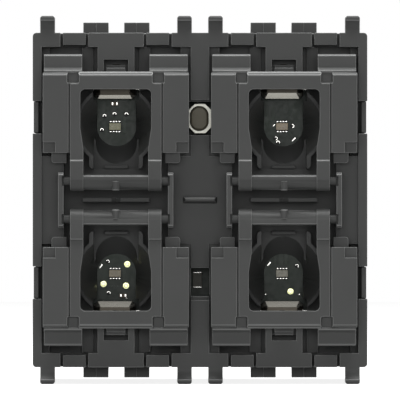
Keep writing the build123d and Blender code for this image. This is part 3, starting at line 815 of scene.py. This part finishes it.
@dataclass(frozen=True)
class Palette:
    """All finishes of the object, made once."""

    carrier: bpy.types.Material
    carrier_edge: bpy.types.Material
    shaded: bpy.types.Material
    lever: bpy.types.Material
    lever_edge: bpy.types.Material
    housing: bpy.types.Material
    moulding: bpy.types.Material
    plunger: bpy.types.Material
    board: bpy.types.Material
    trace: bpy.types.Material
    steel: bpy.types.Material
    crown: bpy.types.Material
    rim: bpy.types.Material
    tin: bpy.types.Material
    gold: bpy.types.Material
    hole: bpy.types.Material
    chip: bpy.types.Material
    epoxy: bpy.types.Material
    ceramic: bpy.types.Material
    can: bpy.types.Material

    @classmethod
    def mixed(cls) -> "Palette":
        """Mix every finish.

        Returns:
            The palette.
        """
        grey = (0.0590, 0.0602, 0.0590)
        satin = 0.4
        highlight_gloss = 0.4
        across = (0.08, 1.0, 1.0)
        along = (1.0, 0.1, 1.0)
        # Painted highlight: the rounded edges of the carrier and the levers get a grey 2.4 and 2.2 times
        # lighter, with more gloss, in place of the light that their edges catch.
        carrier_edge = MouldedPlastic("carrier_edge_painted_highlight", shade(grey, 2.4), roughness=satin, specular=highlight_gloss)
        lever_edge = MouldedPlastic("lever_edge_painted_highlight", shade(grey, 2.2), roughness=satin, specular=highlight_gloss)
        return cls(
            carrier=MouldedPlastic("carrier_grey", shade(grey, 0.96)).material(),
            carrier_edge=carrier_edge.material(),
            shaded=MouldedPlastic("carrier_shaded", shade(grey, 0.3)).material(),
            lever=MouldedPlastic("lever_grey", shade(grey, 0.98)).material(),
            lever_edge=lever_edge.material(),
            housing=MouldedPlastic("housing_grey", shade(grey, 1.15), flow_size=11.0 * MM).material(),
            moulding=MouldedPlastic("switch_black", (0.018, 0.018, 0.019)).material(),
            plunger=MouldedPlastic("plunger_olive", (0.185, 0.170, 0.126), roughness=satin).material(),
            board=SolderMask("solder_mask", (0.009, 0.0165, 0.010)).material(),
            trace=SolderMask("masked_trace", (0.019, 0.029, 0.020)).material(),
            steel=Metal("cover_steel", (0.315, 0.305, 0.272), roughness=0.3, stretch=across).material(),
            # Painted shade: dark steel for the crown of each switch cover, in place of the shade under the
            # lever's bar.
            crown=Metal("cover_steel_painted_shade", (0.060, 0.054, 0.045), roughness=0.4, stretch=across).material(),
            rim=Metal("rim_steel", (0.28, 0.278, 0.248), roughness=0.34).material(),
            tin=Metal("solder_tin", (0.80, 0.79, 0.75), roughness=0.26).material(),
            gold=Metal("pad_gold", (0.74, 0.76, 0.42), roughness=0.3).material(),
            # Painted shade: dark finish for the holes and the lower halves of the plated rings.
            hole=MouldedPlastic("via_hole_painted_shade", (0.01, 0.01, 0.01)).material(),
            chip=MouldedPlastic("setup_chip", (0.074, 0.072, 0.060), roughness=satin).material(),
            epoxy=MouldedPlastic("chip_black", (0.022, 0.022, 0.024)).material(),
            ceramic=MouldedPlastic("chip_brown", (0.11, 0.085, 0.06), roughness=satin).material(),
            can=Metal("can_aluminium", (0.76, 0.76, 0.77), roughness=0.3, stretch=along).material(),
        )


@dataclass
class FrontCarrier:
    """The square moulding that holds everything."""

    palette: Palette
    well_half_width: float = 5.0 * MM
    well_end: float = 15.4 * MM
    # Rounded edges farther out than this lose their painted highlight.
    edge_highlight_half_width: float = 22.1 * MM
    rib_reach: float = 2.4 * MM
    rib_half_width: float = 0.6 * MM
    rib_front: float = -1.9 * MM
    rib_base: float = -1.45 * MM
    rib_slope: float = 0.3
    rim_face: float = -2.2 * MM
    rim_reach: float = 0.1 * MM
    rim_facing: float = 0.5
    rim_cut: float = 7.3 * MM

    def build(self) -> None:
        """Round and dress the moulding."""
        # The rounded edges get the carrier's painted highlight.
        finishes = (self.palette.carrier, self.palette.carrier_edge)
        piece = rounded_copy(
            "front_carrier",
            EdgeSize.PLAIN,
            finishes,
            rings=False,
            bold=self.boldness,
            prepare=self.cut_rims,
        )
        piece.data.materials.append(self.palette.shaded)
        for face in piece.data.polygons:
            face.material_index = self.finish(face)
        mount(piece, "carrier")

    def finish(self, face: bpy.types.MeshPolygon) -> int:
        """Pick the finish of a face.

        Args:
            face: Face of the rounded moulding.

        Returns:
            The place of its finish.
        """
        # Painted shade darkens the front rims of the wells away from the middle, the rib gets painted
        # highlight and painted shade, and other rounded edges keep their painted highlight outside the wells
        # and the outer sides.
        on_rim = self.on_rim(face.center) and face.normal.dot(FRONT) > self.rim_facing
        if on_rim and abs(face.center.z) > self.rim_cut:
            return CarrierFinish.SHADED
        if self.on_rib(face.center, self.rib_base):
            return self.rib_finish(face.normal)
        return face.material_index if self.has_edge_highlight(face.center) else CarrierFinish.PLAIN

    def in_well(self, place: Vector) -> bool:
        """Tell whether a place is inside the outline of a light well."""
        return off_column(place) < self.well_half_width and abs(place.z) < self.well_end

    def has_edge_highlight(self, place: Vector) -> bool:
        """Tell whether rounded edges at a place keep their painted highlight: not in the wells or on the
        outer sides.
        """
        return not self.in_well(place) and abs(place.x) < self.edge_highlight_half_width

    def on_rim(self, place: Vector) -> bool:
        """Tell whether a place is on the front rim of a well."""
        return self.in_well(place) and abs(place.y - self.rim_face) < self.rim_reach

    def cut_rims(self, shape: bmesh.types.BMesh) -> None:
        """Divide the rims of the wells where their shaded part begins.

        Args:
            shape: Mesh that is changed.
        """
        for height in (-self.rim_cut, self.rim_cut):
            parts = {}
            for face in shape.faces:
                if face.normal.dot(FRONT) > FACING and self.on_rim(face.calc_center_median()):
                    parts.update(dict.fromkeys((*face.verts, *face.edges, face)))
            bmesh.ops.bisect_plane(shape, geom=list(parts), plane_co=height * UP, plane_no=UP)

    def on_rib(self, place: Vector, depth: float) -> bool:
        """Tell whether a place is on the rib in the middle and in front of a depth."""
        return abs(place.x) < self.rib_reach and abs(place.z) < self.rib_half_width and place.y < depth

    def rib_finish(self, normal: Vector) -> int:
        """Pick the finish of a face of the rib: painted highlight above, painted shade below and at its ends.

        Args:
            normal: Direction that the face looks in.

        Returns:
            The place of its finish.
        """
        if normal.z > self.rib_slope:
            return CarrierFinish.EDGE_HIGHLIGHT
        if max(-normal.z, abs(normal.x)) > self.rib_slope:
            return CarrierFinish.SHADED
        return CarrierFinish.PLAIN

    def boldness(self, place: Vector) -> float:
        """Tell how much the edges at a place are rounded: most on the front of the rib."""
        return BOLDEST_EDGE if self.on_rib(place, self.rib_front) else 1.0


@dataclass
class ButtonLever:
    """One hinged lever that carries a cap."""

    palette: Palette
    corner: Corner
    bar_half_width: float = 6.2 * MM
    end: float = 16.5 * MM
    front: float = -4.8 * MM
    end_boldness: float = 2.0

    def build(self) -> None:
        """Round and dress the lever."""
        node = f"lever_{self.corner.value}"
        # The rounded edges of the lever get its painted highlight.
        finishes = (self.palette.lever, self.palette.lever_edge)
        piece = rounded_copy(node, EdgeSize.PLAIN, finishes, bold=self.boldness)
        mount(piece, node)

    def boldness(self, place: Vector) -> float:
        """Tell how much the edges at a place are rounded: more on the bar at the free end."""
        on_bar = off_column(place) < self.bar_half_width and place.y < self.front
        return self.end_boldness if on_bar and abs(place.z) > self.end else 1.0


@dataclass
class TactileSwitch:
    """One key switch under a lever."""

    palette: Palette
    corner: Corner
    # The painted shade on the cover's slope begins at these heights, earlier on the upper left.
    shade_start: float = 14.45 * MM
    early_shade_start: float = 14.12 * MM
    slope_facing: float = 0.5
    crown_facing: float = 0.985

    def build(self) -> None:
        """Round and dress the parts of the switch."""
        tag = self.corner.value
        cover = rounded_copy(f"switch_cover_{tag}", EdgeSize.CRISP)
        self.cut_cover(cover)
        finish_faces(cover, self.palette.steel, self.palette.crown, self.in_cover_shade)
        mount(cover, "carrier")
        plunger = rounded_copy(f"switch_plunger_{tag}", EdgeSize.CRISP)
        dress(plunger, self.palette.plunger, f"switch_plunger_{tag}")
        paint_node(f"switch_base_{tag}", self.palette.moulding)
        paint_node(f"switch_dome_{tag}", self.palette.steel)

    def shade_line(self) -> float:
        """Tell how far from the middle of the object the slope of the cover gets the painted shade too."""
        return self.early_shade_start if self.corner is Corner.UPPER_LEFT else self.shade_start

    def cut_cover(self, cover: bpy.types.Object) -> None:
        """Divide the cover where the painted shade on its slope begins.

        Args:
            cover: Cover that is changed.
        """
        height = math.copysign(self.shade_line(), cover.data.vertices[0].co.z)
        open_whole(cover)
        bpy.ops.mesh.bisect(plane_co=height * UP, plane_no=UP)
        bpy.ops.object.mode_set(mode="OBJECT")

    def in_cover_shade(self, face: bpy.types.MeshPolygon) -> bool:
        """Tell whether a face of the cover gets the painted shade: its crown, and the far part of its slope.
        """
        on_far_part = abs(face.center.z) > self.shade_line()
        return face.normal.dot(FRONT) > (self.slope_facing if on_far_part else self.crown_facing)


@dataclass
class StatusLight:
    """One colour-changing light at the bottom of a light well, with its pads placed in millimetres."""

    palette: Palette
    corner: Corner
    foot: float = 4.05 * MM
    foot_height: float = 0.02 * MM
    pad_row: float = 0.675
    pad_places: tuple[float, ...] = (-0.59, -0.19, 0.19, 0.59)
    pad: RaisedBlock = RaisedBlock((0.27 * MM, 0.05 * MM, 0.17 * MM), (Step(0.04 * MM, 0.03 * MM),))

    def tints(self) -> tuple[Colour, Colour]:
        """Choose the two tints of the resin.

        Returns:
            The darker and the lighter tint.
        """
        return {
            Corner.UPPER_LEFT: ((0.10, 0.098, 0.022), (0.21, 0.20, 0.055)),
            Corner.UPPER_RIGHT: ((0.16, 0.110, 0.040), (0.29, 0.20, 0.085)),
            Corner.LOWER_LEFT: ((0.11, 0.085, 0.035), (0.23, 0.18, 0.085)),
            Corner.LOWER_RIGHT: ((0.12, 0.112, 0.070), (0.23, 0.215, 0.15)),
        }[self.corner]

    def build(self) -> None:
        """Round and dress the light and set its solder pads."""
        tag = self.corner.value
        node = f"rgb_led_{tag}"
        body = rounded_copy(node, EdgeSize.CRISP)
        resin = ClearResin(f"resin_{tag}", *self.tints()).material()
        top = self.foot - self.foot_height
        finish_faces(body, resin, self.palette.epoxy, lambda face: face.center.y > top)
        mount(body, "carrier")
        low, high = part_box(node)
        middle = (Vector(low) + Vector(high)) / (2.0 * MM)
        spots = tuple(
            Spot(middle.x + place, middle.z + side * self.pad_row)
            for side in (-1, 1)
            for place in self.pad_places
        )
        pads = repeat(self.pad.model(self.foot), f"light_pads_{tag}", spots)
        dress(pads, self.palette.tin, "carrier")


@dataclass
class FrontBoard:
    """The circuit board seen through the light wells, with its plated spots."""

    palette: Palette
    face: float = 4.3 * MM
    via: RaisedDisc = RaisedDisc(
        radius=0.29 * MM,
        height=0.02 * MM,
        steps=(Step(0.06 * MM, 0.05 * MM), Step(0.06 * MM, 0.0)),
        hole_depth=0.06 * MM,
    )
    via_ring: float = 0.11 * MM
    # Painted shade: below this height the ring is dark, so that only its upper half shows as a bright
    # crescent.
    via_lit_from: float = -0.05 * MM
    test_pad: RaisedDisc = RaisedDisc(
        radius=0.45 * MM,
        height=0.03 * MM,
        steps=(Step(0.06 * MM, 0.03 * MM), Step(0.13 * MM, 0.01 * MM), Step(0.07 * MM, -0.03 * MM)),
    )
    mark: RaisedBlock = RaisedBlock(
        size=(0.19 * MM, 0.05 * MM, 0.66 * MM),
        steps=(Step(0.04 * MM, 0.04 * MM),),
        edge=0.012 * MM,
    )
    bead: RaisedDisc = RaisedDisc(
        radius=0.16 * MM,
        height=0.04 * MM,
        steps=(Step(0.05 * MM, 0.05 * MM), Step(0.06 * MM, 0.02 * MM)),
        sides=16,
    )
    trace: RaisedBlock = RaisedBlock(
        size=(1.0 * MM, 0.02 * MM, 1.0 * MM),
        steps=(Step(0.01 * MM, 0.02 * MM),),
    )
    chip_end: RaisedBlock = RaisedBlock(
        size=(0.24 * MM, 0.47 * MM, 0.40 * MM),
        steps=(Step(0.05 * MM, 0.015 * MM),),
        edge=0.015 * MM,
    )
    vias: tuple[Spot, ...] = (
        Spot(-12.876, 11.325),
        Spot(-11.527, 11.595),
        Spot(-9.910, 11.555),
        Spot(-13.213, 9.438),
        Spot(-12.431, -8.292, 35.0),
        Spot(-12.310, -12.539, 20.0),
        Spot(12.471, 9.977, 80.0),
        Spot(10.220, 8.319, 75.0),
        Spot(10.516, 7.760, 5.0),
        Spot(13.078, -8.898, 35.0),
    )
    test_pads: tuple[Spot, ...] = (
        Spot(-9.802, -8.656),
        Spot(-13.011, -11.325),
        Spot(-9.977, -11.555),
        Spot(12.201, -12.337),
    )
    marks: tuple[Spot, ...] = (
        Spot(-13.348, -8.939, 35.0),
        Spot(12.633, 8.157, 45.0, 1.1, 1.1),
        Spot(9.960, 10.060, 45.0, 0.9, 0.6),
        Spot(9.303, -8.629, 43.0, 1.1, 1.05),
    )
    beads: tuple[Spot, ...] = (
        Spot(8.831, -12.741),
        Spot(13.415, -12.741),
        Spot(8.360, 13.010, 0.0, 1.3, 0.8),
        Spot(-9.930, -13.200, 0.0, 0.7, 1.0),
        Spot(-1.290, -11.850, 0.0, 0.6, 1.3),
    )
    traces: tuple[Spot, ...] = (
        Spot(10.12, -8.1, 0.0, 0.26, 1.4),
        Spot(10.90, -8.0, 0.0, 0.50, 1.5),
        Spot(11.60, -8.05, 0.0, 0.34, 1.4),
        Spot(-10.15, 10.1, 0.0, 0.30, 2.2),
        Spot(9.85, 11.8, 0.0, 0.45, 2.0),
        Spot(9.05, 11.2, 0.0, 0.20, 3.0),
        Spot(12.1, 9.0, -45.0, 0.22, 1.3),
        Spot(-10.2, -10.2, 0.0, 0.30, 1.6),
        Spot(-11.6, -11.6, 90.0, 0.22, 1.4),
    )
    chip_ends: tuple[Spot, ...] = (
        Spot(-11.797, 12.984),
        Spot(-11.191, 12.984),
        Spot(-10.651, -12.876),
        Spot(-10.045, -12.876),
    )

    def build(self) -> None:
        """Dress the board and set everything that is plated on it."""
        paint_node("front_board", self.palette.board)
        paint_node("chip_capacitors", self.palette.ceramic)
        vias = repeat(self.plated_hole(), "board_vias", self.vias)
        mount(vias, "carrier")
        pads = repeat(self.test_pad.model(self.face), "board_test_pads", self.test_pads)
        dress(pads, self.palette.gold, "carrier")
        marks = repeat(self.mark.model(self.face), "board_solder_marks", self.marks)
        dress(marks, self.palette.tin, "carrier")
        beads = repeat(self.bead.model(self.face), "board_solder_beads", self.beads)
        dress(beads, self.palette.tin, "carrier")
        traces = repeat(self.trace.model(self.face), "board_traces", self.traces)
        dress(traces, self.palette.trace, "carrier")
        ends = repeat(self.chip_end.model(self.face), "capacitor_ends", self.chip_ends)
        dress(ends, self.palette.tin, "carrier")

    def plated_hole(self) -> bpy.types.Object:
        """Model a plated hole whose hole and lower half of the ring get painted shade.

        Returns:
            The ring with its hole.
        """
        piece = self.via.model(self.face)
        finish_faces(piece, self.palette.tin, self.palette.hole, self.in_via_shade)
        return piece

    def in_via_shade(self, face: bpy.types.MeshPolygon) -> bool:
        """Tell whether a face of a plated hole gets painted shade: those in the hole and those on the lower
        half of its ring.
        """
        from_middle = math.hypot(face.center.x, face.center.z)
        return face.center.z < self.via_lit_from or from_middle < self.via.radius - self.via_ring


@dataclass
class SetupButton:
    """The small key in the upper slot of the spine."""

    palette: Palette

    def build(self) -> None:
        """Round and dress the key."""
        cover = rounded_copy("setup_cover", EdgeSize.CRISP)
        dress(cover, self.palette.rim, "carrier")
        plunger = rounded_copy("setup_plunger", EdgeSize.CRISP)
        dress(plunger, self.palette.plunger, "setup_plunger")
        paint_node("setup_base", self.palette.moulding)
        paint_node("setup_dome", self.palette.steel)


@dataclass
class SetupLight:
    """The chip light in the lower slot of the spine."""

    palette: Palette
    end_length: float = 0.13 * MM
    end_edge: float = 0.01 * MM
    end_step: Step = Step(0.04 * MM, 0.02 * MM)
    proud: float = 0.02 * MM

    def build(self) -> None:
        """Round and dress the chip and cap its two ends."""
        body = rounded_copy("setup_led", EdgeSize.CRISP)
        dress(body, self.palette.chip, "carrier")
        low, high = (Vector(corner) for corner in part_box("setup_led"))
        middle = (low + high) / (2.0 * MM)
        reach = (high.z - low.z - self.end_length) / (2.0 * MM)
        spots = tuple(Spot(middle.x, middle.z + side * reach) for side in (-1, 1))
        size = (high.x - low.x - 2.0 * self.proud, high.y - low.y, self.end_length)
        end = RaisedBlock(size, (self.end_step,), self.end_edge)
        ends = repeat(end.model(high.y - self.proud), "setup_light_ends", spots)
        dress(ends, self.palette.tin, "carrier")


@dataclass
class RearHousing:
    """The box behind the carrier with the bus pins."""

    palette: Palette

    def build(self) -> None:
        """Round and dress the box and its pins."""
        box = rounded_copy("rear_housing", EdgeSize.PLAIN)
        dress(box, self.palette.housing, "carrier")
        pins = rounded_copy("bus_pins", EdgeSize.CRISP)
        dress(pins, self.palette.tin, "carrier")


@dataclass
class InnerParts:
    """Boards and parts inside the housing."""

    palette: Palette

    def build(self) -> None:
        """Dress every part inside."""
        paint_node("bus_board", self.palette.board)
        paint_node("buffer_capacitor", self.palette.can)
        for name in ("header_block", "header_socket"):
            paint_node(name, self.palette.moulding)
        for name in ("microcontroller", "bus_transceiver"):
            paint_node(name, self.palette.epoxy)
        for name in ("switch_terminals", "header_pins"):
            paint_node(name, self.palette.tin)


@dataclass(frozen=True)
class SoftLight:
    """A rectangular lamp aimed at the object, with its place and size in metres and its power in watts."""

    name: str
    place: Triple
    width: float
    height: float
    power: float

    def build(self) -> None:
        """Hang the lamp."""
        place = Vector(self.place)
        aim = (Vector((0.0, 0.0, 0.0)) - place).to_track_quat("-Z", "Y")
        bpy.ops.object.light_add(type="AREA", location=place, rotation=aim.to_euler())
        lamp = bpy.context.object
        lamp.name = self.name
        lamp.data.shape = "RECTANGLE"
        lamp.data.size = self.width
        lamp.data.size_y = self.height
        lamp.data.energy = self.power


@dataclass
class Studio:
    """Camera, lights, floor and background."""

    focus_plane: float = -5.4 * MM
    distance: float = 990.0 * MM
    frame_width: float = 53.405 * MM
    sensor: float = 36.0
    nearest: float = 0.05
    farthest: float = 20.0
    key: SoftLight = SoftLight("key", (0.0, -0.085, 0.60), 0.7, 0.30, 8.3)
    front: SoftLight = SoftLight("front", (0.0, -0.7, 0.10), 0.5, 0.16, 1.2)
    ambient: float = 0.015
    floor_height: float = -24.65 * MM
    floor_size: float = 1.6
    floor_glow: float = 0.85
    fibre_size: float = 2.0 * MM
    fibre_detail: float = 2.0
    floor_tints: tuple[Colour, Colour] = ((0.39, 0.39, 0.39), (0.42, 0.42, 0.42))
    floor_roughness: tuple[float, float] = (0.8, 0.95)

    def build(self) -> None:
        """Set up the whole studio."""
        self.camera()
        self.key.build()
        self.front.build()
        self.floor()
        self.background()
        bpy.context.scene.view_settings.view_transform = "Standard"

    def camera(self) -> None:
        """Place the camera square in front."""
        bpy.ops.object.camera_add(
            location=(0.0, self.focus_plane - self.distance, 0.0),
            rotation=(QUARTER_TURN, 0.0, 0.0),
        )
        camera = bpy.context.object
        camera.name = "camera"
        camera.data.sensor_width = self.sensor
        camera.data.lens = self.sensor * self.distance / self.frame_width
        camera.data.clip_start = self.nearest
        camera.data.clip_end = self.farthest
        camera.data.dof.use_dof = False
        bpy.context.scene.camera = camera

    def floor(self) -> None:
        """Lay the pale floor."""
        bpy.ops.object.select_all(action="DESELECT")
        bpy.ops.mesh.primitive_plane_add(size=self.floor_size, location=(0.0, 0.0, self.floor_height))
        floor = settle(bpy.context.object, "floor")
        tree = ShaderTree("floor_paper")
        fibre = tree.noise(self.fibre_size, self.fibre_detail)
        glow = tree.tree.nodes.new("ShaderNodeMath")
        glow.operation = "MULTIPLY"
        glow.inputs[1].default_value = self.floor_glow
        tree.tree.links.new(self.seen_rays(tree.tree), glow.inputs[0])
        tree.surface(
            Base_Color=tree.tint(fibre, *self.floor_tints),
            Roughness=tree.spread(fibre, *self.floor_roughness),
            Specular_IOR_Level=0.0,
            Emission_Color=(1.0, 1.0, 1.0, 1.0),
            Emission_Strength=glow.outputs["Value"],
        )
        floor.data.materials.append(tree.material)

    def seen_rays(self, tree: bpy.types.NodeTree) -> bpy.types.NodeSocket:
        """Tell the rays that show a surface from those that light with it.

        Args:
            tree: Node tree that gets the nodes.

        Returns:
            Output that is 1 for camera, glossy and transmission rays.
        """
        path = tree.nodes.new("ShaderNodeLightPath")
        total = path.outputs["Is Camera Ray"]
        for name in ("Is Glossy Ray", "Is Transmission Ray"):
            joined = tree.nodes.new("ShaderNodeMath")
            joined.operation = "ADD"
            joined.use_clamp = True
            tree.links.new(total, joined.inputs[0])
            tree.links.new(path.outputs[name], joined.inputs[1])
            total = joined.outputs["Value"]
        return total

    def background(self) -> None:
        """Make the world white to the eye and dimmer as a light."""
        world = bpy.data.worlds.new("backdrop")
        bpy.context.scene.world = world
        world.use_nodes = True
        tree = world.node_tree
        sky = tree.nodes["Background"]
        sky.inputs["Color"].default_value = (1.0, 1.0, 1.0, 1.0)
        strength = tree.nodes.new("ShaderNodeMapRange")
        strength.inputs["To Min"].default_value = self.ambient
        strength.inputs["To Max"].default_value = 1.0
        tree.links.new(self.seen_rays(tree), strength.inputs["Value"])
        tree.links.new(strength.outputs["Result"], sky.inputs["Strength"])


def main() -> None:
    """Build every sub-assembly in order."""
    logging.basicConfig(level=logging.INFO, format="%(message)s")
    palette = Palette.mixed()
    FrontCarrier(palette).build()
    FrontBoard(palette).build()
    for corner in Corner:
        ButtonLever(palette, corner).build()
        TactileSwitch(palette, corner).build()
        StatusLight(palette, corner).build()
    SetupButton(palette).build()
    SetupLight(palette).build()
    RearHousing(palette).build()
    InnerParts(palette).build()
    Studio().build()


if __name__ == "__main__":
    main()
